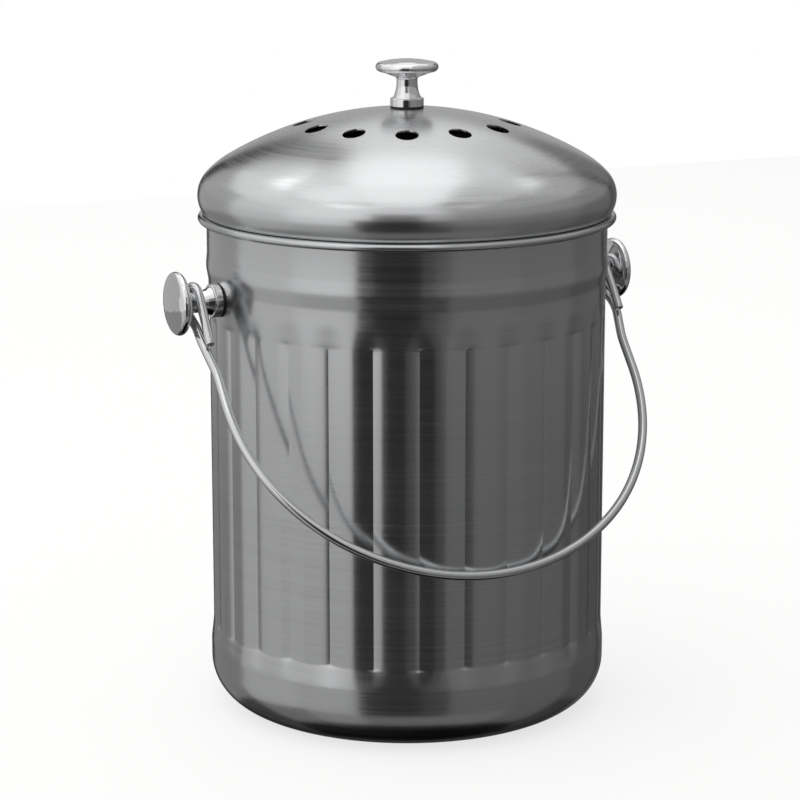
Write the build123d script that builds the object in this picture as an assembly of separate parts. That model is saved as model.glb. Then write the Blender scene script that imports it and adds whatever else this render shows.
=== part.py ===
from build123d import *
from math import asin, cos, degrees, radians, sin, sqrt
import os

os.makedirs("parts", exist_ok=True)

# A kitchen compost caddy: a fluted steel pail, a lift-off domed lid with a
# filter in it, and a wire bail that swings on two studs.
# Millimetres and degrees. +Z is up, the pail stands on z = 0 with its axis on
# the origin, the studs lie along X, and the bail hangs down on the -Y side.

# ---- steel sheet, wire and small clearances
sheet = 0.6                   # pail and lid are drawn from one gauge of sheet
wire_radius = 2.0             # bail wire
rest_gap = 0.05               # between faces that rest on each other
pivot_clearance = 0.15        # bail eye around the neck of its stud
thread_clearance = 0.05       # screw in its tapped hole
lid_clearance = 0.35          # lid skirt inside the mouth of the pail
holder_clearance = 0.15       # filter holder inside the lid skirt
overrun = 1.0                 # cutting shapes run past the faces they open

# ---- pail: drawn shell with a rolled rim
pail_radius = 87.7            # fluted wall, at the middle of each lobe
band_step = 0.8               # plain band at the foot, out from the flutes
swell_step = 0.9              # fullest line of the shoulder under the rim
neck_step = 0.5               # wall just under the rim roll
corner_radius = 20.4          # turn from wall to floor
foot_width = 5.1              # flat ring on which the pail stands
dish_slope = 5.0              # from that ring in to the raised floor
dish_rise = 2.0
band_top = 28.5
band_slope = 9.2              # from the band up to the flutes
shoulder_slope = 5.8          # from the flutes' plain end up to the shoulder
wall_blend = 14.0             # soft bends of the wall outline
rim_height = 221.4
rim_roll = 3.4                # height of the rolled edge
rim_width = 4.4               # and its width
rim_slit = 0.5                # where the roll stops short of the wall

# ---- flutes: convex lobes that meet in narrow creases
flute_count = 28
flute_depth = 0.75
flute_run_out = 5.0           # height over which a crease fades
flute_turn = 4.0              # first crease, from the front

# ---- studs that carry the bail
pivot_drop = 33.7             # below the top of the rim
pivot_over_flutes = 10.6      # plain wall below the pivot
pivot_under_shoulder = 5.0    # and above it
pivot_setback = 3.9           # studs stand a little behind the middle
screw_radius = 1.75
screw_grip = 7.0              # thread inside the knob
hole_clearance = 0.15         # screw in the sheet
head_radius = 3.5
head_height = 2.2
head_round = 1.2
slot_width = 1.0
slot_depth = 1.0
washer_margin = 1.1           # washer around the screw head
washer_thickness = 0.8
gasket_thickness = 0.8        # rubber under each knob

# ---- polished mushroom knob, one pattern with two lengths of neck
collar_radius = 7.3
collar_height = 3.5
collar_round = 0.5
collar_ledge = 1.1            # collar out from the foot of the neck
waist_radius = 4.6
waist_rise = 5.0              # from the collar to the waist
throat_step = 1.1             # flare of the neck where it meets the cap
throat_rise = 1.3
throat_drop = 4.4             # top of that flare, below the cap's widest line
cap_radius = 13.75
brim_inset = 2.15             # edge of the cap's underside
brim_drop = 2.2
crown_inset = 1.45            # edge of its crowned top
crown_rise = 1.8
cap_rise = 3.3                # top of the cap, above its widest line
stud_neck = 15.0              # collar to widest line of the cap
lid_neck = 13.6

# ---- bail
eye_inset = 7.25              # middle of the eye, in from the cap's widest line
eye_pitch = 1.5               # the wire steps aside by this as it crosses itself
tail_reach = 24.0             # end of the tail, down the arm from the pivot
tail_gap = 0.4                # between the tail's end and the arm
knee_drop = 19.0              # where the arm is furthest out
knee_step = 1.25              # and how far, past the middle of the eye
knee_bend = 25.0
arm_run = 17.0                # from the knee to the straight part of the arm
arm_step = 1.55               # straight part, in from the middle of the eye
arm_bend = 40.0
arm_straight = 15.0
bow_offset = 8.2              # centres of the bow's shoulders, from the middle
bow_flattening = 14.0         # the low middle of the bow is flatter by this radius

# ---- lid: spun dome that turns under and steps down into the mouth
lid_swell = 7.93              # widest line, above the rim
dome_angle = 30.2             # where the dome turns to its flank
flank_angle = 46.6            # and the flank to its shoulder
flank_radius = 40.0
shoulder_radius = 13.5
seat_width = 1.5              # step that rests on the rim
seat_bend = 1.2
skirt_bend = 1.0
skirt_depth = 9.9
vent_count = 12
vent_radius = 4.95
vent_ring = 45.0
vent_turn = 4.8               # first vent, from the front

# ---- filter and its holder
holder_wall = 1.6
holder_height = 10.0
holder_floor = 1.6
holder_flange = 1.0
flange_gap = 0.1
holder_lip = 6.0              # width of the floor's solid edge
holder_hub = 9.0
holder_ring = 44.0
holder_rib = 2.6
holder_spokes = 8
pad_thickness = 8.0
pad_edge = 1.0
pad_clearance = 0.5

# ---- radii and heights of the pail
band_radius = pail_radius + band_step
swell_radius = pail_radius + swell_step
neck_radius = pail_radius + neck_step
mouth_radius = neck_radius - sheet
rim_radius = mouth_radius + rim_width
dish_radius = band_radius - corner_radius - foot_width - dish_slope
flute_foot = band_top + band_slope
rim_middle = rim_height - rim_roll / 2
pivot_height = rim_height - pivot_drop
flute_top = pivot_height - pivot_over_flutes
shoulder_foot = pivot_height + pivot_under_shoulder
shoulder_top = shoulder_foot + shoulder_slope

# ---- seats of the studs
washer_radius = head_radius + washer_margin
stud_seat = pail_radius + gasket_thickness
washer_seat = sqrt((pail_radius - sheet) ** 2 - (pivot_setback + washer_radius) ** 2)

# ---- the bail's places, across and down its own plane
eye_radius = waist_radius + pivot_clearance + wire_radius
eye_half_width = stud_seat + collar_height + stud_neck - eye_inset
knee_half_width = eye_half_width + knee_step
bow_half_width = eye_half_width - arm_step
arm_drop = knee_drop + arm_run
shoulder_drop = arm_drop + arm_straight
bow_shoulder_radius = bow_half_width - bow_offset
bow_radius = bow_shoulder_radius + bow_flattening
bow_centre_drop = shoulder_drop - sqrt(bow_flattening**2 - bow_offset**2)
bow_drop = bow_centre_drop + bow_radius
bow_reach = pail_radius + wire_radius + rest_gap + pivot_setback
bail_tilt = degrees(asin(bow_reach / bow_drop))

# ---- the lid's places, its edge flush with the rim
seat_height = rim_height + rest_gap
skirt_radius = mouth_radius - lid_clearance
skirt_bottom = seat_height - skirt_depth
lid_widest = rim_height + lid_swell
flank_reach = (flank_radius - shoulder_radius) * sin(radians(flank_angle))
flank_climb = (flank_radius - shoulder_radius) * cos(radians(flank_angle))
dome_offset = (rim_radius - shoulder_radius - flank_reach) / sin(radians(dome_angle))
dome_radius = flank_radius + dome_offset
dome_height = lid_widest - flank_climb - dome_offset * cos(radians(dome_angle)) + dome_radius
lid_knob_seat = dome_height + gasket_thickness
holder_radius = skirt_radius - sheet - holder_clearance
holder_top = skirt_bottom - flange_gap - holder_flange + holder_height


def revolved(outline):
    """Solid turned about Z from a closed outline of (radius, height) edges."""
    return revolve(make_face(Plane.XZ * outline), Axis.Z)


def disc(radius, low, high):
    return Pos(0, 0, low) * Cylinder(radius, high - low, align=(Align.CENTER, Align.CENTER, Align.MIN))


def ring(outer, inner, low, high):
    return disc(outer, low, high) - disc(inner, low - overrun, high + overrun)


def round_and_round(shape, count, turn=0.0):
    """Copies of a shape evenly spaced about Z, the first one turned from the front."""
    return [Rot(0, 0, turn + 360 * step / count) * shape for step in range(count)]


# ------------------------------------------------------------------ pail
def lobed_section(height, crest, depth):
    """Outline of the wall at one height: convex arcs that meet in creases."""
    half_pitch = 180 / flute_count
    arcs = []
    for lobe in range(flute_count):
        start = flute_turn + 2 * half_pitch * lobe - 90
        corners = [(crest - depth, start), (crest, start + half_pitch), (crest - depth, start + 2 * half_pitch)]
        points = [(r * cos(radians(a)), r * sin(radians(a)), height) for r, a in corners]
        arcs.append(ThreePointArc(*points))
    return make_face(arcs)


def wall_form(inset, top):
    """Solid that fills the pail out to its skin, set in by a thickness."""
    band = band_radius - inset
    flute = pail_radius - inset
    corner = corner_radius - inset
    foot_points = [
        (dish_radius, dish_rise + inset),
        (dish_radius + dish_slope, inset),
        (band, inset),
        (band, band_top),
        (flute, flute_foot),
    ]
    foot = FilletPolyline(*foot_points, radius=[dish_rise, corner, wall_blend])
    foot_axis = Polyline((flute, flute_foot), (0, flute_foot), (0, dish_rise + inset), foot_points[0])
    head_points = [
        (flute, flute_top),
        (flute, shoulder_foot),
        (swell_radius - inset, shoulder_top),
        (neck_radius - inset, rim_middle - rim_roll),
        (neck_radius - inset, top),
    ]
    head = FilletPolyline(*head_points, radius=[wall_blend, wall_blend, wall_blend])
    head_axis = Polyline((neck_radius - inset, top), (0, top), (0, flute_top), head_points[0])
    levels = [
        (flute_foot, 0.0),
        (flute_foot + flute_run_out, flute_depth),
        (flute_top - flute_run_out, flute_depth),
        (flute_top, 0.0),
    ]
    fluted = loft([lobed_section(height, flute, depth) for height, depth in levels], ruled=True)
    return revolved(foot + foot_axis) + fluted + revolved(head + head_axis)


def rim_roll_ring():
    """Edge of the sheet, rolled outwards into a flattened tube that stops at a slit."""
    width = rim_radius - mouth_radius
    middle = mouth_radius + width / 2
    outer = SlotOverall(width, rim_roll)
    inner = SlotOverall(width - 2 * sheet, rim_roll - 2 * sheet)
    section = Pos(middle, rim_middle) * (outer - inner)
    cut_width = sheet + rim_slit
    section -= Pos(mouth_radius + cut_width / 2, rim_middle - rim_roll / 2) * Rectangle(cut_width, rim_roll)
    return revolve(Plane.XZ * section, Axis.Z)


def stud_hole(radius):
    """Round hole through both sides of the wall on the bail's pivot."""
    return Pos(0, pivot_setback, pivot_height) * Rot(0, 90, 0) * Cylinder(radius, 2 * rim_radius)


def make_pail(wall):
    shell = wall - wall_form(sheet, rim_middle)
    return shell + rim_roll_ring() - stud_hole(screw_radius + hole_clearance)


# ------------------------------------------------------------------ knobs and screws
def mushroom_knob(neck):
    """Turned and polished knob standing on its collar, tapped from below."""
    widest = collar_height + neck
    waist = collar_height + waist_rise
    throat = widest - throat_drop
    stem_end = throat - throat_rise
    neck_foot_radius = collar_radius - collar_ledge
    throat_radius = waist_radius + throat_step
    brim_radius = cap_radius - brim_inset
    crown_radius = cap_radius - crown_inset
    collar = Polyline(
        (0, 0),
        (collar_radius, 0),
        (collar_radius, collar_height - collar_round),
        (collar_radius - collar_round, collar_height),
        (neck_foot_radius, collar_height),
    )
    flare = TangentArc((waist_radius, waist), (neck_foot_radius, collar_height), tangent=(0, -1))
    stem = Line((waist_radius, waist), (waist_radius, stem_end))
    throat_flare = TangentArc((waist_radius, stem_end), (throat_radius, throat), tangent=(0, 1))
    underside = Line((throat_radius, throat), (brim_radius, widest - brim_drop))
    brim = ThreePointArc(
        (brim_radius, widest - brim_drop),
        (cap_radius, widest),
        (crown_radius, widest + crown_rise),
    )
    crown = TangentArc((0, widest + cap_rise), (crown_radius, widest + crown_rise), tangent=(1, 0))
    axis = Line((0, widest + cap_rise), (0, 0))
    knob = revolved(collar + flare + stem + throat_flare + underside + brim + crown + axis)
    return knob - disc(screw_radius + thread_clearance, -overrun, screw_grip + thread_clearance)


def pan_screw(shank):
    """Slotted pan-head screw, head downwards, seated at z = 0."""
    head = disc(head_radius, -head_height, 0)
    head = fillet(head.edges().sort_by(Axis.Z)[0], head_round)
    head -= Pos(0, 0, -head_height) * Box(2 * head_radius + overrun, slot_width, 2 * slot_depth)
    return head + disc(screw_radius, 0, shank)


def on_stud(piece, side, seat):
    """A piece made standing on z = 0, laid out along the stud on one side of the pail."""
    return Pos(0, pivot_setback, pivot_height) * Rot(0, side * 90, 0) * Pos(0, 0, seat) * piece


def make_stud(side, wall):
    """Knob, gasket, washer and screw of one stud, the gasket squeezed to the wall."""
    bore = screw_radius + hole_clearance
    knob = on_stud(mushroom_knob(stud_neck), side, stud_seat)
    gasket = on_stud(ring(collar_radius, bore, washer_seat, stud_seat), side, 0) - wall
    washer = on_stud(ring(washer_radius, bore, -washer_thickness, 0), side, washer_seat)
    shank = stud_seat - washer_seat + washer_thickness + screw_grip
    screw = on_stud(pan_screw(shank), side, washer_seat - washer_thickness)
    return {"knob": knob, "gasket": gasket, "washer": washer, "screw": screw}


# ------------------------------------------------------------------ bail
def bail_point(half_width, drop, rise=0.0):
    """A point of the bail: across, down its own plane, and out of the plane to the front."""
    tilt = radians(bail_tilt)
    back = -drop * sin(tilt) - rise * cos(tilt)
    return Vector(half_width, pivot_setback + back, pivot_height - drop * cos(tilt) + rise * sin(tilt))


def eye_point(drop, rise):
    """A point of the eye, which leans outwards from its tail to its arm."""
    lean = eye_pitch / (2 * eye_radius)
    return eye_half_width - lean * rise, drop, rise


def tangent_touch(drop, rise, side):
    """Where a line from a point down the arm touches the eye's circle."""
    reach = sqrt(drop**2 + rise**2)
    run = sqrt(reach**2 - eye_radius**2)
    along = eye_radius**2 / reach**2
    across = side * eye_radius * run / reach**2
    return drop * along - rise * across, rise * along + drop * across


def half_bail(side):
    """Centre line edges of one half of the bail, from the tail's end to the lowest point."""
    tail_rise = 2 * wire_radius + tail_gap
    tail_touch = tangent_touch(tail_reach, tail_rise, 1)
    arm_touch = tangent_touch(knee_drop, 0, -1)

    def place(drop, rise):
        half_width, down, out = eye_point(drop, rise)
        return bail_point(side * half_width, down, out)

    tail = Line(place(tail_reach, tail_rise), place(*tail_touch))
    eye = ThreePointArc(place(*tail_touch), place(-eye_radius, 0), place(*arm_touch))
    lean = asin(bow_offset / bow_flattening)

    def bow(half_width, drop):
        return bail_point(side * half_width, drop)

    arm = FilletPolyline(
        place(*arm_touch),
        place((arm_touch[0] + knee_drop) / 2, arm_touch[1] / 2),
        bow(knee_half_width, knee_drop),
        bow(bow_half_width, arm_drop),
        bow(bow_half_width, shoulder_drop),
        radius=[knee_bend, knee_bend, arm_bend],
    )
    halfway = (lean + radians(90)) / 2
    shoulder_middle = (
        bow_offset + bow_shoulder_radius * sin(halfway),
        shoulder_drop + bow_shoulder_radius * cos(halfway),
    )
    join = (bow_radius * sin(lean), bow_centre_drop + bow_radius * cos(lean))
    low_middle = (bow_radius * sin(lean / 2), bow_centre_drop + bow_radius * cos(lean / 2))
    shoulder = ThreePointArc(bow(bow_half_width, shoulder_drop), bow(*shoulder_middle), bow(*join))
    lowest = ThreePointArc(bow(*join), bow(*low_middle), bow(0, bow_drop))
    return [*tail.edges(), *eye.edges(), *arm.edges(), *shoulder.edges(), *lowest.edges()]


def make_bail():
    """Round wire bent to a bow, with an eye and a straight tail at each end."""
    path = Wire([*half_bail(-1), *half_bail(1)])
    section = Plane(origin=path @ 0, z_dir=path % 0) * Circle(wire_radius)
    return sweep(section, path=path)


# ------------------------------------------------------------------ lid
def on_arc(centre, radius, angle):
    """A point of an arc, its angle counted from straight up."""
    return centre[0] + radius * sin(radians(angle)), centre[1] + radius * cos(radians(angle))


def dome_outline():
    """Outer outline of the lid, from its top to the bottom of its skirt."""
    dome_centre = (0, dome_height - dome_radius)
    flank_centre = on_arc(dome_centre, dome_offset, dome_angle)
    shoulder_centre = (rim_radius - shoulder_radius, lid_widest)
    seat_centre = (skirt_radius + seat_width, seat_height + seat_bend)
    overhang = rim_radius - seat_centre[0]
    seat_fall = lid_widest - seat_centre[1]
    turn_radius = (overhang**2 + seat_fall**2 - seat_bend**2) / (2 * (overhang - seat_bend))
    turn_centre = (rim_radius - turn_radius, lid_widest)
    turn_angle = 90 + degrees(asin(seat_fall / (turn_radius - seat_bend)))
    stretches = [
        (dome_centre, dome_radius, 0, dome_angle),
        (flank_centre, flank_radius, dome_angle, flank_angle),
        (shoulder_centre, shoulder_radius, flank_angle, 90),
        (turn_centre, turn_radius, 90, turn_angle),
        (seat_centre, seat_bend, turn_angle, 180),
    ]
    edges = []
    for centre, radius, start, end in stretches:
        points = [on_arc(centre, radius, angle) for angle in (start, (start + end) / 2, end)]
        edges.append(ThreePointArc(*points))
    step = FilletPolyline(
        (seat_centre[0], seat_height),
        (skirt_radius, seat_height),
        (skirt_radius, skirt_bottom),
        radius=skirt_bend,
    )
    return Wire([*edges, *step.edges()])


def make_lid():
    outline = dome_outline()
    section = make_face(offset(outline, amount=sheet, side=Side.RIGHT, closed=True))
    shell = revolve(Plane.XZ * section, Axis.Z)
    vent = Pos(0, -vent_ring, 0) * disc(vent_radius, rim_height, dome_height + overrun)
    shell -= round_and_round(vent, vent_count, vent_turn)
    return shell - disc(screw_radius + hole_clearance, rim_height, dome_height + overrun)


def make_lid_knob():
    """Knob, gasket, washer and screw on the top of the lid."""
    bore = screw_radius + hole_clearance
    dome_middle = dome_height - dome_radius
    knob = Pos(0, 0, lid_knob_seat) * mushroom_knob(lid_neck)
    gasket = ring(collar_radius, bore, dome_height - gasket_thickness, lid_knob_seat)
    gasket -= Pos(0, 0, dome_middle) * Sphere(dome_radius)
    washer_top = dome_middle + sqrt((dome_radius - sheet) ** 2 - washer_radius**2)
    washer = ring(washer_radius, bore, washer_top - washer_thickness, washer_top)
    shank = lid_knob_seat - washer_top + washer_thickness + screw_grip
    screw = Pos(0, 0, washer_top - washer_thickness) * pan_screw(shank)
    return {"knob": knob, "gasket": gasket, "washer": washer, "screw": screw}


# ------------------------------------------------------------------ filter
def make_filter_holder():
    """Moulded cage: a ring that pushes into the lid's skirt, with a spoked floor."""
    low = holder_top - holder_height
    inner = holder_radius - holder_wall
    holder = ring(holder_radius, inner, low, holder_top)
    holder += ring(skirt_radius, inner, low, low + holder_flange)
    holder += ring(holder_radius, inner - holder_lip, low, low + holder_floor)
    holder += ring(holder_ring + holder_rib / 2, holder_ring - holder_rib / 2, low, low + holder_floor)
    holder += disc(holder_hub, low, low + holder_floor)
    spoke = Pos(0, -inner / 2, low + holder_floor / 2) * Box(holder_rib, inner, holder_floor)
    return holder + round_and_round(spoke, holder_spokes)


def make_filter_pad():
    """Charcoal felt disc that lies in the holder."""
    low = holder_top - holder_height + holder_floor
    pad = disc(holder_radius - holder_wall - pad_clearance, low, low + pad_thickness)
    return fillet(pad.edges(), pad_edge)


# ------------------------------------------------------------------ the set of pieces
def make_pieces():
    wall = wall_form(0, rim_middle)
    pieces = {
        "pail_body": make_pail(wall),
        "bail_handle": make_bail(),
        "lid_shell": make_lid(),
        "filter_holder": make_filter_holder(),
        "filter_pad": make_filter_pad(),
    }
    for name, side in (("left", -1), ("right", 1)):
        for kind, piece in make_stud(side, wall).items():
            pieces[f"{name}_stud_{kind}"] = piece
    for kind, piece in make_lid_knob().items():
        node = "lid_knob" if kind == "knob" else f"lid_knob_{kind}"
        pieces[node] = piece
    return pieces


for node, piece in make_pieces().items():
    export_step(piece, f"parts/{node}.step")

print(f"bail tilt at rest {bail_tilt:.3f} degrees, pivot at y {pivot_setback:.3f}, z {pivot_height:.3f}")
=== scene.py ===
from math import asin, atan2, ceil, copysign, cos, degrees, pi, radians, sin, sqrt, tan

import bmesh
import bpy
from mathutils import Matrix, Vector, noise


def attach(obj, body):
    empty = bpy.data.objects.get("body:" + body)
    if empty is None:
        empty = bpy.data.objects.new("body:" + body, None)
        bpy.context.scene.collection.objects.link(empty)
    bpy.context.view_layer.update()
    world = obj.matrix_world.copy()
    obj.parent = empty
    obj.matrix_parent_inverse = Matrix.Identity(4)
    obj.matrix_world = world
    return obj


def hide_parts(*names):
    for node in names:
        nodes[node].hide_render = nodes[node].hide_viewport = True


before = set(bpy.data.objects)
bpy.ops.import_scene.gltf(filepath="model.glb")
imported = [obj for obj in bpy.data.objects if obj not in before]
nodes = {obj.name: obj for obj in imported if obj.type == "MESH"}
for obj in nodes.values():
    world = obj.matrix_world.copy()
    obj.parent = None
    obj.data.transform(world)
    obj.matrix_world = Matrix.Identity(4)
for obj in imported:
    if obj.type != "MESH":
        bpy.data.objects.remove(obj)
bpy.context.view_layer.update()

# A kitchen compost caddy: a fluted steel pail, a spun lid with a ring of vents
# and a charcoal filter, three polished knobs, and a wire bail.
# Sizes are in millimetres and turned to metres as each mesh is made.
MM = 0.001
scene = bpy.context.scene

# ---------------------------------------------------------------- camera
# A long lens, a little above the lid, from the front and to the left.
# The small shift keeps the pail's axis right of the middle of the picture.
camera_place = (-0.52374, -1.11300, 0.40844)
camera_pitch = 77.52
camera_turn = -25.2
lens_length = 126.92
picture_shift = -0.0088

camera_data = bpy.data.cameras.new("camera")
camera_data.sensor_fit = "HORIZONTAL"
camera_data.sensor_width = 36
camera_data.lens = lens_length
camera_data.shift_x = picture_shift
camera = bpy.data.objects.new("camera", camera_data)
camera.location = camera_place
camera.rotation_euler = (radians(camera_pitch), 0, radians(camera_turn))
scene.collection.objects.link(camera)
scene.camera = camera
scene.view_settings.view_transform = "Standard"


# ---------------------------------------------------------------- studio
# A pale floor, a white surround that the camera sees, and large soft boxes
# that the steel mirrors: a bright one on the left, a dimmer one on the right.
def linear(colour):
    """An sRGB hex colour as linear RGBA."""
    channels = [int(colour[i : i + 2], 16) / 255 for i in (1, 3, 5)]
    curve = [c / 12.92 if c <= 0.04045 else ((c + 0.055) / 1.055) ** 2.4 for c in channels]
    return (*curve, 1.0)


def add(tree, kind, inputs=(), **settings):
    """A node with its settings. Each input is given a value, or linked from a socket or from
    a node's first output."""
    node = tree.nodes.new(kind)
    for name, value in settings.items():
        setattr(node, name, value)
    for key, value in dict(inputs).items():
        if isinstance(value, bpy.types.Node):
            value = value.outputs[0]
        if isinstance(value, bpy.types.NodeSocket):
            tree.links.new(value, node.inputs[key])
        else:
            node.inputs[key].default_value = value
    return node


room_tone = "#9a9a9c"
room_strength = 0.3
white = "#ffffff"
floor_size = 3.0
floor_tone = "#959593"
floor_lift = 0.73
tent_size = 7.0
tent_tone = "#0c0c0c"
wall_distance = 2.2
wall_middle = 0.15
wall_rises = (-70, -36, -12, 8, 30, 54)


def background_share(tree):
    """1 for the rays that show the plain background: from the camera, off metal, through glass."""
    ray = add(tree, "ShaderNodeLightPath")
    either = add(
        tree,
        "ShaderNodeMath",
        {0: ray.outputs["Is Camera Ray"], 1: ray.outputs["Is Glossy Ray"]},
        operation="MAXIMUM",
    )
    inputs = {0: either, 1: ray.outputs["Is Transmission Ray"]}
    return add(tree, "ShaderNodeMath", inputs, operation="MAXIMUM")


world = bpy.data.worlds.new("studio")
scene.world = world
world.use_nodes = True
sky = world.node_tree
sky.nodes.clear()
room = add(sky, "ShaderNodeBackground", {"Color": linear(room_tone), "Strength": room_strength})
backdrop = add(sky, "ShaderNodeBackground", {"Color": linear(white), "Strength": 1.0})
seen = add(sky, "ShaderNodeMixShader", {0: background_share(sky), 1: room, 2: backdrop})
add(sky, "ShaderNodeOutputWorld", {"Surface": seen})


def studio_mesh(name, verts, faces, material):
    """A staged surface with its material."""
    mesh = bpy.data.meshes.new(name)
    mesh.from_pydata(verts, [], faces)
    mesh.materials.append(material)
    piece = bpy.data.objects.new(name, mesh)
    scene.collection.objects.link(piece)
    return piece


# Pale paper, raised to white for the camera so that only the shadow shows.
paper = bpy.data.materials.new("pale_paper_floor")
paper.use_nodes = True
tree = paper.node_tree
tree.nodes.clear()
matt = add(tree, "ShaderNodeBsdfDiffuse", {"Color": linear(floor_tone)})
lift = add(tree, "ShaderNodeMath", {0: background_share(tree), 1: floor_lift}, operation="MULTIPLY")
glow = add(tree, "ShaderNodeEmission", {"Color": linear(white), "Strength": lift})
both = add(tree, "ShaderNodeAddShader", {0: matt, 1: glow})
add(tree, "ShaderNodeOutputMaterial", {"Surface": both})
edge = floor_size / 2
square = [(-edge, -edge, 0), (edge, -edge, 0), (edge, edge, 0), (-edge, edge, 0)]
floor = studio_mesh("floor", square, [(0, 1, 2, 3)], paper)
floor.visible_glossy = False
floor.visible_shadow = False

# A black cloth tent that only the metal sees: the dark between the soft boxes.
cloth = bpy.data.materials.new("black_cloth_tent")
cloth.use_nodes = True
tree = cloth.node_tree
tree.nodes.clear()
dark = add(tree, "ShaderNodeBsdfDiffuse", {"Color": linear(tent_tone)})
add(tree, "ShaderNodeOutputMaterial", {"Surface": dark})
edge = tent_size / 2
plan = ((-edge, -edge), (edge, -edge), (edge, edge), (-edge, edge))
corners = [(x, y, z) for z in (-edge, edge) for x, y in plan]
walls = [(0, 1, 2, 3), (4, 5, 6, 7), (0, 1, 5, 4), (1, 2, 6, 5), (2, 3, 7, 6), (3, 0, 4, 7)]
tent = studio_mesh("tent", corners, walls, cloth)
tent.visible_camera = False
tent.visible_diffuse = False
tent.visible_transmission = False
tent.visible_shadow = False


def soft_box(name, place, way, width, height, tone):
    """A flat lamp at this place, turned this way (tilt, 0, turn). Its tone is how bright
    it looks, where 1 is white."""
    lamp = bpy.data.lights.new(name, "AREA")
    lamp.shape = "RECTANGLE"
    lamp.size = width
    lamp.size_y = height
    lamp.energy = tone * width * height * pi
    holder = bpy.data.objects.new(name, lamp)
    holder.location = place
    holder.rotation_euler = way
    scene.collection.objects.link(holder)


def bank(name, turns, tones):
    """An upright stack of soft boxes round the object, one between each two rises of the
    wall. Its turns are counted from the camera toward its right."""
    turn = radians(camera_turn + (turns[0] + turns[1]) / 2)
    width = 2 * wall_distance * tan(radians(turns[1] - turns[0]) / 2)
    for level, (low, high, tone) in enumerate(zip(wall_rises, wall_rises[1:], tones)):
        foot, head = (wall_distance * tan(radians(rise)) for rise in (low, high))
        place = (wall_distance * sin(turn), -wall_distance * cos(turn), wall_middle + (foot + head) / 2)
        soft_box(f"{name}_{level}", place, (radians(90), 0, turn), width, head - foot, tone)


# A bright bank on the left, a dim one on the right, a dark gap in front and a row behind.
for name, turns, tones in (
    ("left_near", (-66, -28), (0.3, 0.44, 0.86, 1.03, 1.03)),
    ("left_side", (-110, -66), (0.2, 0.5, 0.7, 0.82, 0.98)),
    ("left_back", (-156, -110), (0.05, 0.25, 0.42, 0.47, 0.98)),
    ("left_step", (-28, -19), (0.2, 0.03, 0.08, 0.95, 0.95)),
    ("front", (-19, 8), (0.2, 0.03, 0.02, 0.2, 0.88)),
    ("right_edge", (8, 16), (0.2, 0.06, 0.08, 0.55, 0.88)),
    ("right_step", (16, 24), (0.2, 0.06, 0.15, 0.5, 0.8)),
    ("right_near", (24, 66), (0.2, 0.15, 0.22, 0.35, 0.48)),
    ("right_side", (66, 108), (0.14, 0.14, 0.2, 0.35, 0.48)),
    ("right_back", (108, 146), (0.05, 0.1, 0.16, 0.3, 0.54)),
    ("back_right", (150, 166), (0.03, 0.12, 0.12, 0.2, 0.8)),
    ("back", (166, 195), (0.05, 0.1, 0.45, 0.45, 1.0)),
):
    bank(name, turns, tones)

# A ceiling of nine soft boxes: three rows from front to back, each from left to right.
ceiling_height = wall_middle + wall_distance * tan(radians(wall_rises[-1]))
ceiling_reach = 2.12
ceiling_tones = ((0.93, 1.15, 0.47), (1.27, 1.35, 0.7), (1.05, 1.5, 0.85))
tile = 2 * ceiling_reach / 3
facing = Matrix.Rotation(radians(camera_turn), 3, "Z")
for row, tones in enumerate(ceiling_tones):
    for column, tone in enumerate(tones):
        place = facing @ Vector(((column - 1) * tile, (row - 1) * tile, 0))
        place.z = ceiling_height
        soft_box(f"ceiling_{row}{column}", place, (0, 0, radians(camera_turn)), tile, tile, tone)

# ---------------------------------------------------------------- pail
# Drawn from 0.6 mm stainless sheet: a dished floor, a plain band, a wall of
# convex flutes that run out under a shoulder, and the edge rolled outwards.
sheet = 0.6
pail_radius = 87.7
band_radius = 88.5
swell_radius = 88.75
swell_fall = 6.0
neck_radius = 88.2
corner_radius = 20.4
dish_radius = 58.0
dish_slope = 5.0
dish_rise = 2.0
band_top = 28.5
flute_foot = 37.7
shoulder_foot = 192.7
shoulder_top = 198.5
wall_blend = 14.0
rim_height = 221.4
rim_roll = 3.4
rim_width = 4.4
rim_slit = 0.5
flute_count = 28
flute_depth = 1.0
crease_foot = 36.4
crease_top = 177.8
crease_tip = 2.4
tip_round = 0.26
flute_run_out = 9.0
flute_turn = 4.0
columns_per_flute = 16
column_crowding = 1.5
rows_in_run_out = 6
rows_in_tip = 5
row_gap = 0.15
crease_sharpness = 12.5


def arc(centre, radius, start, end, step=6.0):
    """Points of an arc in (radius, height), its angle counted from straight up."""
    count = ceil(abs(end - start) / step)
    angles = [radians(start + (end - start) * k / count) for k in range(count + 1)]
    return [(centre[0] + radius * sin(a), centre[1] + radius * cos(a)) for a in angles]


def swing(centre, first, last, step=6.0):
    """Points of the short arc round a centre from one point to another."""
    first, last, centre = Vector(first), Vector(last), Vector(centre)
    start, end = first - centre, last - centre
    count = max(2, ceil(degrees(start.angle(end)) / step))
    return [centre + start.length * start.slerp(end, k / count) for k in range(count + 1)]


def rounded(corners, radii, step=6.0):
    """Points of a line through the corners, each inner corner turned by an arc."""
    corners = [Vector(corner) for corner in corners]
    points = [corners[0]]
    for before, corner, after, radius in zip(corners, corners[1:], corners[2:], radii):
        back = (before - corner).normalized()
        on = (after - corner).normalized()
        half_turn = (radians(180) - back.angle(on)) / 2
        reach = radius * tan(half_turn)
        centre = corner + (back + on).normalized() * radius / cos(half_turn)
        points += swing(centre, corner + back * reach, corner + on * reach, step)
    return [*points, corners[-1]]


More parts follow.
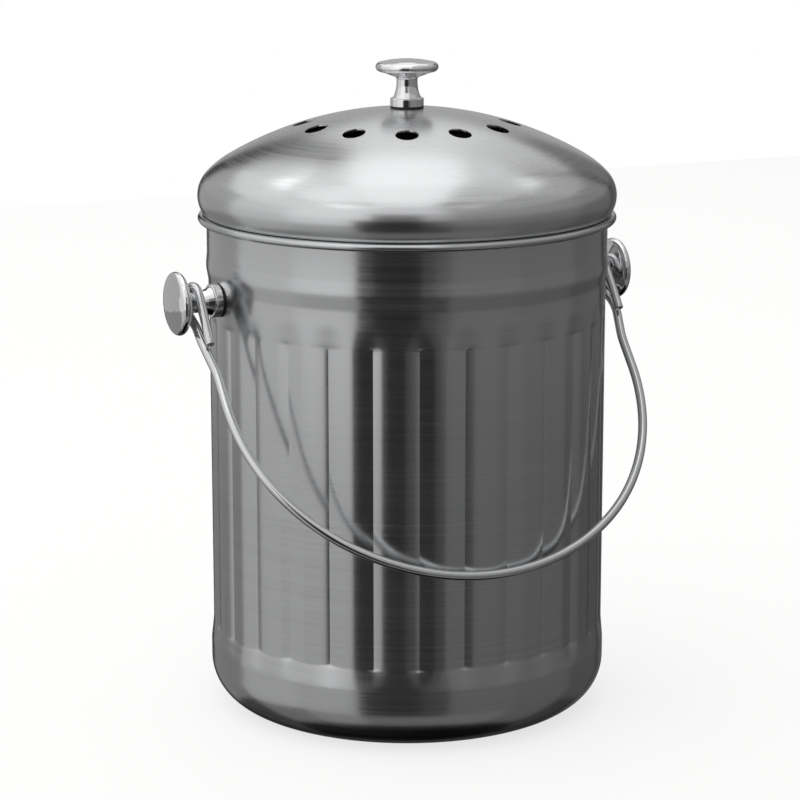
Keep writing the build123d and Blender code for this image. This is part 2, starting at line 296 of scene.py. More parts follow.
def turned(name, outline, turns):
    """A skin turned about Z from a closed outline, with a column of points at each turn.
    Points on the axis become poles."""
    columns = len(turns)
    verts, rings, faces = [], [], []
    for radius, height in outline:
        first = len(verts)
        count = 1 if radius < 1e-6 else columns
        rings.append([first + k for k in range(count)])
        for turn in [radians(turn) for turn in turns[:count]]:
            verts.append((radius * sin(turn) * MM, -radius * cos(turn) * MM, height * MM))
    for low, high in zip(rings, rings[1:] + rings[:1]):
        if len(low) == 1 and len(high) == 1:
            continue
        for k in range(columns):
            on = (k + 1) % columns
            corners = [low[k % len(low)], low[on % len(low)], high[on % len(high)], high[k % len(high)]]
            faces.append(list(dict.fromkeys(corners)))
    mesh = bpy.data.meshes.new(name)
    mesh.from_pydata(verts, [], faces)
    piece = bpy.data.objects.new(name, mesh)
    scene.collection.objects.link(piece)
    return piece


def finished(piece, material, sharp):
    """Faces turned outwards, smooth shading with edges kept over an angle, and the finish."""
    shape = bmesh.new()
    shape.from_mesh(piece.data)
    bmesh.ops.remove_doubles(shape, verts=shape.verts, dist=1e-7)
    bmesh.ops.recalc_face_normals(shape, faces=shape.faces)
    if shape.calc_volume(signed=True) < 0:
        bmesh.ops.reverse_faces(shape, faces=shape.faces)
    shape.to_mesh(piece.data)
    shape.free()
    piece.data.shade_smooth()
    piece.data.set_sharp_from_angle(angle=radians(sharp))
    piece.data.materials.clear()
    piece.data.materials.append(material)


def node_tree(name, **sizes):
    """A geometry tree with a geometry input, named number inputs (whole or not, as their
    samples are), a finish, and one output."""
    tree = bpy.data.node_groups.new(name, "GeometryNodeTree")
    tree.interface.new_socket("Geometry", in_out="INPUT", socket_type="NodeSocketGeometry")
    for label, value in sizes.items():
        kind = "NodeSocketInt" if isinstance(value, int) else "NodeSocketFloat"
        tree.interface.new_socket(label, in_out="INPUT", socket_type=kind)
    tree.interface.new_socket("Finish", in_out="INPUT", socket_type="NodeSocketMaterial")
    tree.interface.new_socket("Geometry", in_out="OUTPUT", socket_type="NodeSocketGeometry")
    return tree


def end_tree(tree, given, geometry):
    """Closes a tree: instances made real, the finish set, and the result put out."""
    real = add(tree, "GeometryNodeRealizeInstances", {"Geometry": geometry})
    painted = add(tree, "GeometryNodeSetMaterial", {"Geometry": real, "Material": given["Finish"]})
    add(tree, "NodeGroupOutput", {0: painted})


def grown(piece, tree, finish, **sizes):
    """Runs a geometry tree on a piece with these sizes and keeps the result as its mesh."""
    modifier = piece.modifiers.new(tree.name, "NODES")
    modifier.node_group = tree
    given = {**sizes, "Finish": finish}
    for item in tree.interface.items_tree:
        if item.in_out == "INPUT" and item.name in given:
            modifier[item.identifier] = given[item.name]
    bpy.context.view_layer.update()
    evaluated = piece.evaluated_get(bpy.context.evaluated_depsgraph_get())
    mesh = bpy.data.meshes.new_from_object(evaluated)
    piece.modifiers.clear()
    piece.data = mesh


brushed_round = 6.0
cloud_fineness = 18.0
rough_spread = 0.04
cloud_spread = 0.02
grain_shade = 0.94
grain_relief = 0.2


def steel(name, tone, rough, across, line_pitch, ringed):
    """Stainless steel brushed round the axis: highlights spread across the fine lines. The
    lines are about 0.1 mm on the real sheet and drawn coarser, so that they show. Along
    their run they change 6 times a metre, and soft clouds of wear 18 times."""
    material = bpy.data.materials.new(name)
    material.use_nodes = True
    tree = material.node_tree
    tree.nodes.clear()
    place = add(tree, "ShaderNodeTexCoord").outputs["Object"]
    parts = add(tree, "ShaderNodeSeparateXYZ", {0: place}).outputs
    flat = add(tree, "ShaderNodeCombineXYZ", {"X": parts["X"], "Y": parts["Y"]})
    reach = add(tree, "ShaderNodeVectorMath", {0: flat}, operation="LENGTH").outputs["Value"]
    lines = {0: reach if ringed else parts["Z"], 1: 1 / (line_pitch * MM)}
    close = add(tree, "ShaderNodeMath", lines, operation="MULTIPLY")
    along = add(tree, "ShaderNodeVectorMath", {0: flat, "Scale": brushed_round}, operation="SCALE")
    spread = add(tree, "ShaderNodeSeparateXYZ", {0: along}).outputs
    stretched = add(tree, "ShaderNodeCombineXYZ", {"X": spread["X"], "Y": spread["Y"], "Z": close})
    brushed = {"Vector": stretched, "Scale": 1.0, "Detail": 3.0}
    grain = add(tree, "ShaderNodeTexNoise", brushed).outputs["Fac"]
    clouds = {"Vector": place, "Scale": cloud_fineness, "Detail": 2.0}
    cloud = add(tree, "ShaderNodeTexNoise", clouds).outputs["Fac"]
    lined = {0: grain, 1: 0.3, 2: 0.7, 3: rough - rough_spread, 4: rough + rough_spread}
    roughness = add(tree, "ShaderNodeMapRange", lined)
    worn = add(tree, "ShaderNodeMapRange", {0: cloud, 1: 0.3, 2: 0.7, 3: -cloud_spread, 4: cloud_spread})
    rough_sum = add(tree, "ShaderNodeMath", {0: roughness, 1: worn}, operation="ADD")
    shade = add(tree, "ShaderNodeMapRange", {0: grain, 1: 0.25, 2: 0.75, 3: grain_shade, 4: 1.0})
    colour = add(tree, "ShaderNodeVectorMath", {0: linear(tone)[:3], "Scale": shade}, operation="SCALE")
    relief = {"Strength": 0.02, "Distance": grain_relief * MM, "Height": grain}
    bump = add(tree, "ShaderNodeBump", relief)
    tangent = add(tree, "ShaderNodeVectorMath", {0: (0, 0, 1), 1: flat}, operation="CROSS_PRODUCT")
    shader = add(
        tree,
        "ShaderNodeBsdfPrincipled",
        {
            "Base Color": colour,
            "Metallic": 1.0,
            "Roughness": rough_sum,
            "Anisotropic": across,
            "Anisotropic Rotation": 0.25,
            "Tangent": tangent,
            "Normal": bump,
        },
    )
    add(tree, "ShaderNodeOutputMaterial", {"Surface": shader})
    return material


# Circumferentially brushed 304 stainless: grey, with soft mirror images drawn out up and down.
pail_steel = steel(
    "brushed_stainless_pail", "#c9cacb", rough=0.215, across=0.58, line_pitch=0.5, ringed=False
)


def wall_skin(inset, top):
    """Outline of the pail's skin from the middle of its floor up to the rim."""
    band = band_radius - inset
    flute = pail_radius - inset
    corners = [
        (0, dish_rise + inset),
        (dish_radius, dish_rise + inset),
        (dish_radius + dish_slope, inset),
        (band, inset),
        (band, band_top),
        (flute, flute_foot),
        (flute, shoulder_foot),
        (swell_radius - inset, shoulder_top),
        (neck_radius - inset, shoulder_top + swell_fall),
        (neck_radius - inset, top),
    ]
    radii = [dish_rise, dish_rise, corner_radius - inset, *[wall_blend] * 5]
    return rounded(corners, radii, step=4.0)


def flute_tree():
    """Presses a skin inwards between the lobes, deepest at the sharp creases. The lobes run
    out past the ends of the creases, and the tip of each crease turns round."""
    sizes = {"Depth": 1.0, "First": 1.0, "Foot": 1.0, "Top": 1.0, "RunOut": 1.0, "Tip": 1.0, "Round": 1.0}
    tree = node_tree("press_flutes", Count=1, **sizes)
    given = add(tree, "NodeGroupInput").outputs
    place = add(tree, "GeometryNodeInputPosition")
    parts = add(tree, "ShaderNodeSeparateXYZ", {0: place}).outputs

    # How far a point is from the nearest crease, from 0 to 1 at the middle of a lobe.
    back = add(tree, "ShaderNodeMath", {0: parts["Y"], 1: -1.0}, operation="MULTIPLY")
    angle = add(tree, "ShaderNodeMath", {0: parts["X"], 1: back}, operation="ARCTAN2")
    past = add(tree, "ShaderNodeMath", {0: angle, 1: given["First"]}, operation="SUBTRACT")
    share = add(tree, "ShaderNodeMath", {0: past, 1: given["Count"]}, operation="MULTIPLY")
    lobes = add(tree, "ShaderNodeMath", {0: share, 1: radians(360)}, operation="DIVIDE")
    within = add(tree, "ShaderNodeMath", {0: lobes, 1: 1.0, 2: 0.0}, operation="WRAP")
    off = add(tree, "ShaderNodeMath", {0: within, 1: 2.0, 2: -1.0}, operation="MULTIPLY_ADD")
    middle = add(tree, "ShaderNodeMath", {0: off}, operation="ABSOLUTE")
    away = add(tree, "ShaderNodeMath", {0: 1.0, 1: middle}, operation="SUBTRACT")

    # The levels where each end's tip and run-out start, and how far along them the point is.
    above = add(tree, "ShaderNodeMath", {0: given["Foot"], 1: given["Tip"]}, operation="ADD")
    below = add(tree, "ShaderNodeMath", {0: given["Top"], 1: given["Tip"]}, operation="SUBTRACT")
    lowest = add(tree, "ShaderNodeMath", {0: given["Foot"], 1: given["RunOut"]}, operation="SUBTRACT")
    highest = add(tree, "ShaderNodeMath", {0: given["Top"], 1: given["RunOut"]}, operation="ADD")
    at_foot, at_top, up, down = (
        add(tree, "ShaderNodeMapRange", {0: parts["Z"], 1: start, 2: end}, interpolation_type="SMOOTHSTEP")
        for start, end in ((above, given["Foot"]), (below, given["Top"]), (lowest, above), (highest, below))
    )

    # A lobe's depth grows with the square of the distance from its middle, and is round at the tips.
    tip = add(tree, "ShaderNodeMath", {0: at_foot, 1: at_top}, operation="MAXIMUM")
    turn = add(tree, "ShaderNodeMath", {0: tip, 1: given["Round"]}, operation="MULTIPLY")
    turn_square = add(tree, "ShaderNodeMath", {0: turn, 1: turn}, operation="MULTIPLY")
    square = add(tree, "ShaderNodeMath", {0: away, 1: away, 2: turn_square}, operation="MULTIPLY_ADD")
    blunt = add(tree, "ShaderNodeMath", {0: square}, operation="SQRT")
    near = add(tree, "ShaderNodeMath", {0: 1.0, 1: blunt}, operation="SUBTRACT")
    held = add(tree, "ShaderNodeMath", {0: near, 1: 0.0}, operation="MAXIMUM")
    bowl = add(tree, "ShaderNodeMath", {0: held, 1: 2.0}, operation="POWER")
    run = add(tree, "ShaderNodeMath", {0: up, 1: down}, operation="MINIMUM")
    press = add(tree, "ShaderNodeMath", {0: bowl, 1: run}, operation="MULTIPLY")
    depth = add(tree, "ShaderNodeMath", {0: given["Depth"], 1: -1.0}, operation="MULTIPLY")
    inward = add(tree, "ShaderNodeMath", {0: press, 1: depth}, operation="MULTIPLY")
    flat = add(tree, "ShaderNodeCombineXYZ", {"X": parts["X"], "Y": parts["Y"]})
    way = add(tree, "ShaderNodeVectorMath", {0: flat}, operation="NORMALIZE")
    shift = add(tree, "ShaderNodeVectorMath", {0: way, "Scale": inward}, operation="SCALE")
    pressed = add(tree, "GeometryNodeSetPosition", {"Geometry": given["Geometry"], "Offset": shift})
    end_tree(tree, given, pressed)
    return tree


rim_middle = rim_height - rim_roll / 2
roll_radius = rim_roll / 2
bead_out = neck_radius - sheet + rim_width - roll_radius
bead_in = neck_radius - sheet + roll_radius
outside = wall_skin(0, rim_middle)
inside = wall_skin(sheet, rim_middle)
hollow = roll_radius - sheet
roll_inner = [
    *arc((bead_in, rim_middle), hollow, -90, 0, 12),
    *arc((bead_out, rim_middle), hollow, 0, 180, 12),
    (neck_radius + rim_slit, rim_middle - hollow),
]
roll_outer = [
    (neck_radius + rim_slit, rim_middle - roll_radius),
    *arc((bead_out, rim_middle), roll_radius, 180, 0, 9),
    *arc((bead_in, rim_middle), roll_radius, 0, -90, 9),
]


def with_rows(line):
    """Rows of a skin, close together in the run-outs and tips of the creases."""
    run_steps = [flute_run_out * (k / rows_in_run_out - 1) for k in range(rows_in_run_out)]
    steps = run_steps + [crease_tip * k / rows_in_tip for k in range(rows_in_tip + 1)]
    plain = [crease_foot + 2 * crease_tip, (crease_foot + crease_top) / 2, crease_top - 2 * crease_tip]
    levels = [crease_foot + step for step in steps] + plain
    levels += [crease_top - step for step in reversed(steps)]
    rows = []
    for start, end in zip(line, line[1:]):
        rows.append(start)
        for level in levels:
            if start[1] + row_gap < level < end[1] - row_gap:
                rows.append(start.lerp(end, (level - start[1]) / (end[1] - start[1])))
    return [*rows, line[-1]]


outline = [*with_rows(outside), *roll_inner[1:], *roll_outer, *reversed(with_rows(inside))]
# The columns stand closer together toward the creases.
flute_columns = []
for flute in range(flute_count):
    for column in range(columns_per_flute):
        side = 2 * column / columns_per_flute - 1
        crowded = copysign(1 - (1 - abs(side)) ** column_crowding, side)
        flute_columns.append(flute_turn + 360 / flute_count * (flute + (crowded + 1) / 2))
pail = turned("pail", outline, flute_columns)
grown(
    pail,
    flute_tree(),
    pail_steel,
    Count=flute_count,
    Depth=flute_depth * MM,
    First=radians(flute_turn),
    Foot=crease_foot * MM,
    Top=crease_top * MM,
    RunOut=flute_run_out * MM,
    Tip=crease_tip * MM,
    Round=tip_round,
)
finished(pail, pail_steel, sharp=crease_sharpness)
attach(pail, "pail")
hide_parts("pail_body")

# ---------------------------------------------------------------- lid
# A spun dome of the same sheet, turned under at its edge and stepped down to a
# skirt inside the mouth. A ring of round vents is cut through near its crown.
rim_radius = 92.0
dome_radius = 157.78
dome_height = 267.108
dome_angle = 30.2
flank_angle = 46.6
flank_radius = 40.0
shoulder_radius = 13.5
lid_widest = 229.33
turn_radius = 13.108
seat_width = 1.5
seat_height = 221.45
seat_bend = 1.2
skirt_radius = 87.25
skirt_bottom = 211.55
skirt_bend = 1.0
screw_hole = 1.9
vent_count = 12
vent_radius = 4.95
vent_ring = 45.0
vent_turn = 4.8
vent_sides = 72
lid_columns = 360


def evenly(columns):
    """Turns of this many columns, evenly round."""
    return [360 * k / columns for k in range(columns)]


def lid_skin(inset):
    """Outline of the lid's skin from its screw hole down to the end of its skirt."""
    dome = (0, dome_height - dome_radius)
    offset = dome_radius - flank_radius
    flank = (offset * sin(radians(dome_angle)), dome[1] + offset * cos(radians(dome_angle)))
    seat = (skirt_radius + seat_width, seat_height + seat_bend)
    turn = degrees(asin((lid_widest - seat[1]) / (turn_radius - seat_bend))) + 90
    start = degrees(asin(screw_hole / (dome_radius - inset)))
    line = arc(dome, dome_radius - inset, start, dome_angle, 1.0)
    line += arc(flank, flank_radius - inset, dome_angle, flank_angle, 2.0)[1:]
    shoulder = (rim_radius - shoulder_radius, lid_widest)
    line += arc(shoulder, shoulder_radius - inset, flank_angle, 90, 4.0)[1:]
    line += arc((rim_radius - turn_radius, lid_widest), turn_radius - inset, 90, turn, 4.0)[1:]
    line += arc(seat, seat_bend - inset, turn, 180, 11.0)[1:]
    skirt = [line[-1], (skirt_radius - inset, line[-1][1]), (skirt_radius - inset, skirt_bottom)]
    return line + rounded(skirt, [skirt_bend + inset], 11.0)[1:]


def vent_tree():
    """Cuts a ring of upright round holes through a skin."""
    tree = node_tree("cut_vents", Count=1, Radius=1.0, Ring=1.0, First=1.0, Reach=1.0)
    given = add(tree, "NodeGroupInput").outputs
    points = add(tree, "GeometryNodeMeshCircle", {"Vertices": given["Count"], "Radius": given["Ring"]})
    round_bar = {"Vertices": vent_sides, "Radius": given["Radius"], "Depth": given["Reach"]}
    punch = add(tree, "GeometryNodeMeshCylinder", round_bar)
    each = add(tree, "GeometryNodeInstanceOnPoints", {"Points": points, "Instance": punch})
    real = add(tree, "GeometryNodeRealizeInstances", {"Geometry": each})
    aim = add(tree, "ShaderNodeMath", {0: given["First"], 1: radians(90)}, operation="SUBTRACT")
    turn = add(tree, "ShaderNodeCombineXYZ", {"Z": aim})
    half = add(tree, "ShaderNodeMath", {0: given["Reach"], 1: 0.5}, operation="MULTIPLY")
    up = add(tree, "ShaderNodeCombineXYZ", {"Z": half})
    placed = add(
        tree,
        "GeometryNodeTransform",
        {"Geometry": real, "Translation": up, "Rotation": turn},
    )
    cut = add(
        tree,
        "GeometryNodeMeshBoolean",
        {0: given["Geometry"], 1: placed},
        operation="DIFFERENCE",
        solver="MANIFOLD",
    )
    end_tree(tree, given, cut.outputs["Mesh"])
    return tree


# Spun and concentrically brushed stainless: paler than the pail, its highlights less drawn out.
lid_steel = steel(
    "spun_stainless_lid", "#cfd0d1", rough=0.24, across=0.49, line_pitch=0.6, ringed=True
)
lid = turned("lid", [*lid_skin(0), *reversed(lid_skin(sheet))], evenly(lid_columns))
finished(lid, lid_steel, sharp=30)
grown(
    lid,
    vent_tree(),
    lid_steel,
    Count=vent_count,
    Radius=vent_radius * MM,
    Ring=vent_ring * MM,
    First=radians(vent_turn),
    Reach=2 * dome_height * MM,
)
finished(lid, lid_steel, sharp=30)
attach(lid, "lid")
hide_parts("lid_shell")

# ---------------------------------------------------------------- knobs
# Three turned and polished mushroom knobs of one pattern: one lifts the lid,
# and two with longer necks stand on the wall as the bail's pivots.
pivot_height = 187.7
pivot_setback = 3.9
stud_seat = 88.5
lid_knob_seat = 267.9
stud_neck = 15.0
lid_neck = 13.6
collar_radius = 7.3
collar_height = 3.5
collar_round = 0.5
collar_ledge = 1.1
waist_radius = 4.6
waist_rise = 6.6
throat_step = 1.1
throat_rise = 1.3
throat_drop = 4.4
cap_radius = 13.75
brim_inset = 2.15
brim_drop = 2.2
crown_inset = 1.45
crown_rise = 1.8
cap_rise = 3.3
tapped_radius = 1.8
tapped_depth = 7.05
knob_columns = 128
knob_pitch = 1.5


def divided(points, pitch):
    """The same line with points added so that no run is longer than the pitch."""
    line = [Vector(points[0])]
    for end in points[1:]:
        start = line[-1]
        end = Vector(end)
        count = max(1, ceil((end - start).length / pitch))
        line += [start.lerp(end, k / count) for k in range(1, count + 1)]
    return line


def leaving(start, way, end, step=6.0):
    """Points of an arc that leaves one point in a direction and ends at another."""
    start, end = Vector(start), Vector(end)
    chord = end - start
    side = Vector((-way[1], way[0]))
    centre = start + side * chord.length_squared / (2 * chord.dot(side))
    return swing(centre, start, end, step)


def through(first, middle, last, step=6.0):
    """Points of the arc through three points."""
    a, b, c = Vector(first), Vector(middle), Vector(last)
    one, two = b - a, c - a
    cross = 2 * (one.x * two.y - one.y * two.x)
    centre = a + Vector((
        (two.y * one.length_squared - one.y * two.length_squared) / cross,
        (one.x * two.length_squared - two.x * one.length_squared) / cross,
    ))
    return swing(centre, a, b, step) + swing(centre, b, c, step)[1:]


def knob_skin(neck):
    """Outline of a knob that stands on its collar, from the crown to its tapped hole."""
    widest = collar_height + neck
    throat = widest - throat_drop
    crown = (cap_radius - crown_inset, widest + crown_rise)
    brim = (cap_radius - brim_inset, widest - brim_drop)
    foot = (collar_radius - collar_ledge, collar_height)
    line = leaving((0, widest + cap_rise), (1, 0), crown)
    line += through(crown, (cap_radius, widest), brim)[1:]
    under_cap = (waist_radius + throat_step, throat)
    line += leaving((waist_radius, throat - throat_rise), (0, 1), under_cap)[::-1]
    line += leaving((waist_radius, collar_height + waist_rise), (0, -1), foot)
    line += rounded([foot, (collar_radius, collar_height), (collar_radius, 0)], [collar_round], 15.0)[1:]
    hole = [(tapped_radius, 0), (tapped_radius, tapped_depth), (0, tapped_depth)]
    return [*divided(line, knob_pitch), *hole]


haze_fineness = 60.0
hair_fineness = 2200.0
haze_spread = 0.05
haze_shade = 0.96
hair_relief = 0.1


def polished(name, tone, rough):
    """Steel polished to a mirror, with faint handling haze that changes 60 times a metre and
    hairlines about 0.45 mm apart."""
    material = bpy.data.materials.new(name)
    material.use_nodes = True
    tree = material.node_tree
    tree.nodes.clear()
    place = add(tree, "ShaderNodeTexCoord").outputs["Object"]
    hazy = {"Vector": place, "Scale": haze_fineness, "Detail": 4.0}
    haze = add(tree, "ShaderNodeTexNoise", hazy).outputs["Fac"]
    dulled = {0: haze, 1: 0.35, 2: 0.7, 3: rough, 4: rough + haze_spread}
    roughness = add(tree, "ShaderNodeMapRange", dulled)
    hairs = {"Vector": place, "Scale": hair_fineness, "Detail": 2.0}
    hair = add(tree, "ShaderNodeTexNoise", hairs).outputs["Fac"]
    bump = add(tree, "ShaderNodeBump", {"Strength": 0.02, "Distance": hair_relief * MM, "Height": hair})
    shade = add(tree, "ShaderNodeMapRange", {0: haze, 1: 0.3, 2: 0.7, 3: haze_shade, 4: 1.0})
    colour = add(tree, "ShaderNodeVectorMath", {0: linear(tone)[:3], "Scale": shade}, operation="SCALE")
    inputs = {"Base Color": colour, "Metallic": 1.0, "Roughness": roughness, "Normal": bump}
    shader = add(tree, "ShaderNodeBsdfPrincipled", inputs)
    add(tree, "ShaderNodeOutputMaterial", {"Surface": shader})
    return material


# Turned stainless polished bright: mirrors the room, a hint of haze.
knob_steel = polished("polished_stainless_knob", "#ececed", rough=0.05)


def mushroom_knob(name, neck, place, body, node):
    """One knob, its crown upwards before it is placed."""
    knob = turned(name, knob_skin(neck), evenly(knob_columns))
    knob.data.transform(place)
    finished(knob, knob_steel, sharp=30)
    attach(knob, body)
    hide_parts(node)


on_lid = Matrix.Translation((0, 0, lid_knob_seat * MM))
mushroom_knob("lid_mushroom_knob", lid_neck, on_lid, "lid", "lid_knob")
for label, side in (("left", -1), ("right", 1)):
    pivot = Matrix.Translation((side * stud_seat * MM, pivot_setback * MM, pivot_height * MM))
    lying = pivot @ Matrix.Rotation(radians(side * 90), 4, "Y")
    mushroom_knob(f"{label}_pivot_knob", stud_neck, lying, "pail", f"{label}_stud_knob")

# ---------------------------------------------------------------- bail
# One length of polished round wire. Each end makes an eye round a knob's neck
# and runs on past it as a straight tail; the bow rests against the pail's front.
wire_radius = 2.0
eye_radius = 6.75
eye_half_width = 99.75
eye_pitch = 1.5
tail_reach = 24.0
tail_rise = 4.4
knee_drop = 19.0
knee_half_width = 101.0
knee_bend = 25.0
arm_drop = 36.0
arm_bend = 40.0
bow_half_width = 98.2
shoulder_drop = 51.0
bow_offset = 8.2
bow_shoulder_radius = 90.0
bow_radius = 104.0
bow_drop = 143.652
bail_tilt = 40.686
end_round = 0.5
wire_pitch = 3.0


def touch(drop, rise, side):
    """Where a line from a point down the arm touches the eye's circle."""
    reach = drop**2 + rise**2
    across = side * eye_radius * sqrt(reach - eye_radius**2) / reach
    along = eye_radius**2 / reach
    return Vector((drop * along - rise * across, rise * along + drop * across))


def half_bow():
    """Half of the bail as (half width, drop, rise), from the tail's end to the lowest point."""
    lean = eye_pitch / (2 * eye_radius)
    tail = touch(tail_reach, tail_rise, 1)
    arm = touch(knee_drop, 0, -1)
    far = Vector((-eye_radius, 0))
    eye = swing((0, 0), tail, far, 5.0) + swing((0, 0), far, arm, 5.0)[1:]
    flat = [Vector((tail_reach, tail_rise)), *eye]
    line = [Vector((eye_half_width - lean * rise, drop, rise)) for drop, rise in flat]
    middle = Vector(((arm.x + knee_drop) / 2, arm.y / 2))
    knee = Vector((eye_half_width - lean * middle.y, middle.x, middle.y))
    bend = (knee_half_width, knee_drop, 0)
    corners = [line[-1], knee, bend, (bow_half_width, arm_drop, 0), (bow_half_width, shoulder_drop, 0)]
    line += rounded(corners, [knee_bend, knee_bend, arm_bend], 2.0)[1:]
    turn = asin(bow_offset / (bow_radius - bow_shoulder_radius))
    for centre, radius, start, end in (
        ((bow_offset, shoulder_drop), bow_shoulder_radius, 90, degrees(turn)),
        ((0, bow_drop - bow_radius), bow_radius, degrees(turn), 0),
    ):
        line += [Vector((across, drop, 0)) for across, drop in arc(centre, radius, start, end, 1.5)[1:]]
    return line


def hung(point, side):
    """A point of the bail in the pail's frame."""
    tilt = radians(bail_tilt)
    across, drop, rise = point
    back = pivot_setback - drop * sin(tilt) - rise * cos(tilt)
    return Vector((side * across, back, pivot_height - drop * cos(tilt) + rise * sin(tilt))) * MM


half_line = half_bow()
wire_line = [hung(point, -1) for point in half_line]
wire_line += [hung(point, 1) for point in reversed(half_line[:-1])]
left_way = (wire_line[1] - wire_line[0]).normalized()
right_way = (wire_line[-2] - wire_line[-1]).normalized()

# Each end of the wire is rounded off: how far in, and how thick as a share of the wire.
ends = []
for angle in (0, 30, 60, 90):
    inset = end_round * (1 - cos(radians(angle)))
    ends.append((inset, 1 - end_round / wire_radius * (1 - sin(radians(angle)))))
tube = [(wire_line[0] + left_way * inset * MM, size) for inset, size in ends]
tube += [(point, 1.0) for point in divided(wire_line, wire_pitch * MM)[1:-1]]
tube += [(wire_line[-1] + right_way * inset * MM, size) for inset, size in reversed(ends)]

wire_curve = bpy.data.curves.new("bail_wire", "CURVE")
wire_curve.dimensions = "3D"
wire_curve.bevel_depth = wire_radius * MM
wire_curve.bevel_resolution = 10
wire_curve.use_fill_caps = True
spline = wire_curve.splines.new("POLY")
spline.points.add(len(tube) - 1)
for knot, (place, size) in zip(spline.points, tube):
    knot.co = (*place, 1.0)
    knot.radius = size
drawn = bpy.data.objects.new("bail_wire", wire_curve)
scene.collection.objects.link(drawn)
bail = bpy.data.objects.new("bail", bpy.data.meshes.new_from_object(drawn))
bpy.data.objects.remove(drawn)
scene.collection.objects.link(bail)

# Drawn stainless wire, polished bright like the knobs.
wire_steel = polished("polished_stainless_wire", "#d4d5d6", rough=0.07)
finished(bail, wire_steel, sharp=40)
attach(bail, "bail")
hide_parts("bail_handle")

# ---------------------------------------------------------------- seals and fasteners
# Behind each knob: a punched rubber gasket that its collar squeezes, and, inside
# the steel, a washer and a slotted pan-head screw that hold the knob on.
gloss_spread = 0.05
broad_share = 0.08


def grained(name, darker, lighter, rough, grain, relief, **sockets):
    """A material whose colour, gloss and surface all vary with a grain of this size in
    millimetres, and more broadly."""
    material = bpy.data.materials.new(name)
    material.use_nodes = True
    tree = material.node_tree
    tree.nodes.clear()
    place = add(tree, "ShaderNodeTexCoord").outputs["Object"]
    close, wide = 1 / (grain * MM), broad_share / (grain * MM)
    fine = add(tree, "ShaderNodeTexNoise", {"Vector": place, "Scale": close, "Detail": 4.0}).outputs["Fac"]
    broad = add(tree, "ShaderNodeTexNoise", {"Vector": place, "Scale": wide, "Detail": 2.0}).outputs["Fac"]
    blotch = add(tree, "ShaderNodeMath", {0: fine, 1: broad}, operation="ADD")
    share = add(tree, "ShaderNodeMapRange", {0: blotch, 1: 0.7, 2: 1.3, 3: 0.0, 4: 1.0})
    mixed = {"Fac": share, "Color1": linear(darker), "Color2": linear(lighter)}
    colour = add(tree, "ShaderNodeMixRGB", mixed)
    worn = {0: broad, 1: 0.3, 2: 0.7, 3: rough - gloss_spread, 4: rough + gloss_spread}
    gloss = add(tree, "ShaderNodeMapRange", worn)
    bump = add(tree, "ShaderNodeBump", {"Strength": 0.5, "Distance": relief * MM, "Height": fine})
    inputs = {"Base Color": colour, "Roughness": gloss, "Normal": bump, **sockets}
    shader = add(tree, "ShaderNodeBsdfPrincipled", inputs)
    add(tree, "ShaderNodeOutputMaterial", {"Surface": shader})
    return material


def finish_nodes(material, *names):
    """Puts a material in every slot of these nodes' objects."""
    for name in names:
        for place in nodes[name].material_slots:
            place.material = material


# Punched EPDM rubber: black, and dull from its talc.
rubber = grained("punched_epdm_rubber", "#141414", "#222221", rough=0.62, grain=0.4, relief=0.03)
# Zinc-plated steel: a cool silver, faintly clouded by its passivation.
zinc = grained(
    "zinc_plated_steel", "#b4b7ba", "#cfd1d0", rough=0.32, grain=0.25, relief=0.01, Metallic=1.0
)
finish_nodes(rubber, "left_stud_gasket", "right_stud_gasket", "lid_knob_gasket")
for seat in ("left_stud", "right_stud", "lid_knob"):
    finish_nodes(zinc, f"{seat}_washer", f"{seat}_screw")

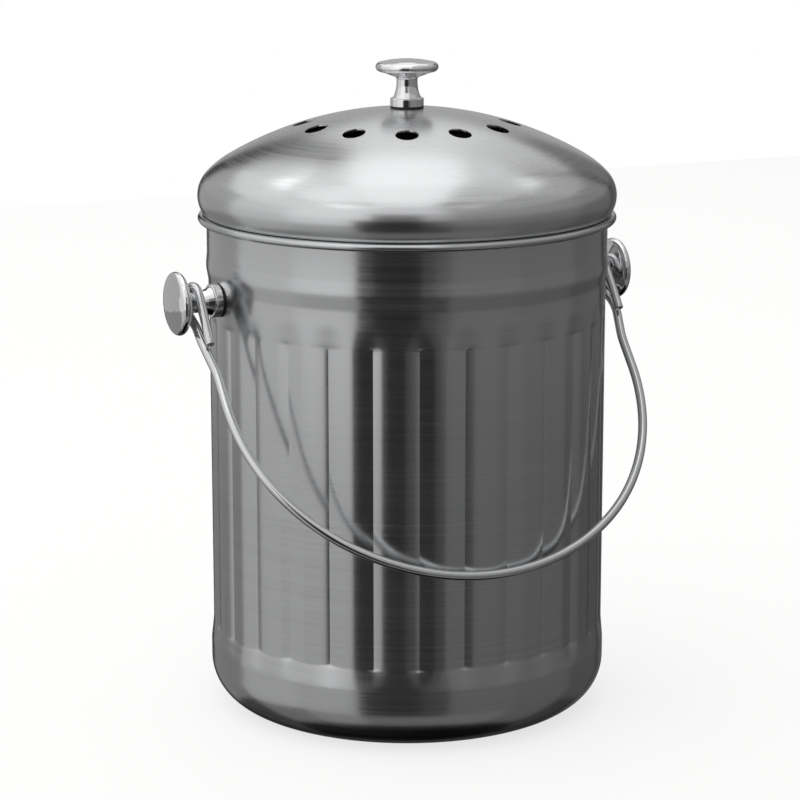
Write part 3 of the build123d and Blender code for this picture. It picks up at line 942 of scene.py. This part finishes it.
# ---------------------------------------------------------------- filter
# A moulded cage that pushes into the lid's skirt, and on its spokes a die-cut disc
# of charcoal felt: soft at its edge, and sunk a little into each of the cage's gaps.
pad_radius = 84.4
pad_bottom = 212.05
pad_top = 220.05
pad_edge = 2.6
pad_sag = 0.9
pad_show_through = 0.4
felt_loft = 0.25
felt_clump = 6.0
underside_loft = 0.4
edge_unevenness = 0.25
pad_columns = 192
pad_pitch = 2.8
spoke_count = 8
hub_radius = 9.0
ring_radius = 44.0
lip_radius = 77.0

# Moulded black polypropylene: a fine spark-eroded grain, half dull.
polypropylene = grained(
    "moulded_black_polypropylene", "#161617", "#1f1f20", rough=0.45, grain=0.5, relief=0.02
)
finish_nodes(polypropylene, "filter_holder")


def sunk(radius, turn):
    """How deep the felt sinks here, as a share of the most: nothing over a spoke or a ring."""
    low, high = (hub_radius, ring_radius) if radius < ring_radius else (ring_radius, lip_radius)
    if not low < radius < high:
        return 0.0
    return sin(pi * (radius - low) / (high - low)) * abs(sin(spoke_count / 2 * turn))


def felt_disc():
    """The pad's skin: an outline with soft edges, turned, then settled and made uneven."""
    edge = pad_radius - pad_edge
    outline = [(0, pad_bottom), *arc((edge, pad_bottom + pad_edge), pad_edge, 180, 90, 15.0)]
    outline += [*arc((edge, pad_top - pad_edge), pad_edge, 90, 0, 15.0), (0, pad_top)]
    pad = turned("charcoal_felt_pad", divided(outline, pad_pitch), evenly(pad_columns))
    for vertex in pad.data.vertices:
        place = vertex.co / MM
        radius = sqrt(place.x**2 + place.y**2)
        upper = (place.z - pad_bottom) / (pad_top - pad_bottom)
        sag = pad_sag * sunk(radius, atan2(place.x, -place.y)) * (1 - (1 - pad_show_through) * upper)
        lump = noise.noise(place / felt_clump)
        loft = felt_loft * lump * (1 if upper > 0.5 else underside_loft)
        inward = edge_unevenness * max(0, radius - edge) * (1 + lump)
        shift = Vector((place.x, place.y, 0)).normalized() * -inward if radius > 1 else Vector()
        vertex.co = (place + shift + Vector((0, 0, min(0, loft) - sag))) * MM
    return pad


# Needle-punched polyester felt full of carbon: near black, with paler fibre ends and no gloss.
sheen = {"Sheen Weight": 0.3, "Sheen Roughness": 0.6}
felt = grained("needled_charcoal_felt", "#161616", "#3b3b3c", rough=0.95, grain=0.9, relief=0.5, **sheen)
pad = felt_disc()
finished(pad, felt, sharp=80)
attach(pad, "filter")
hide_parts("filter_pad")
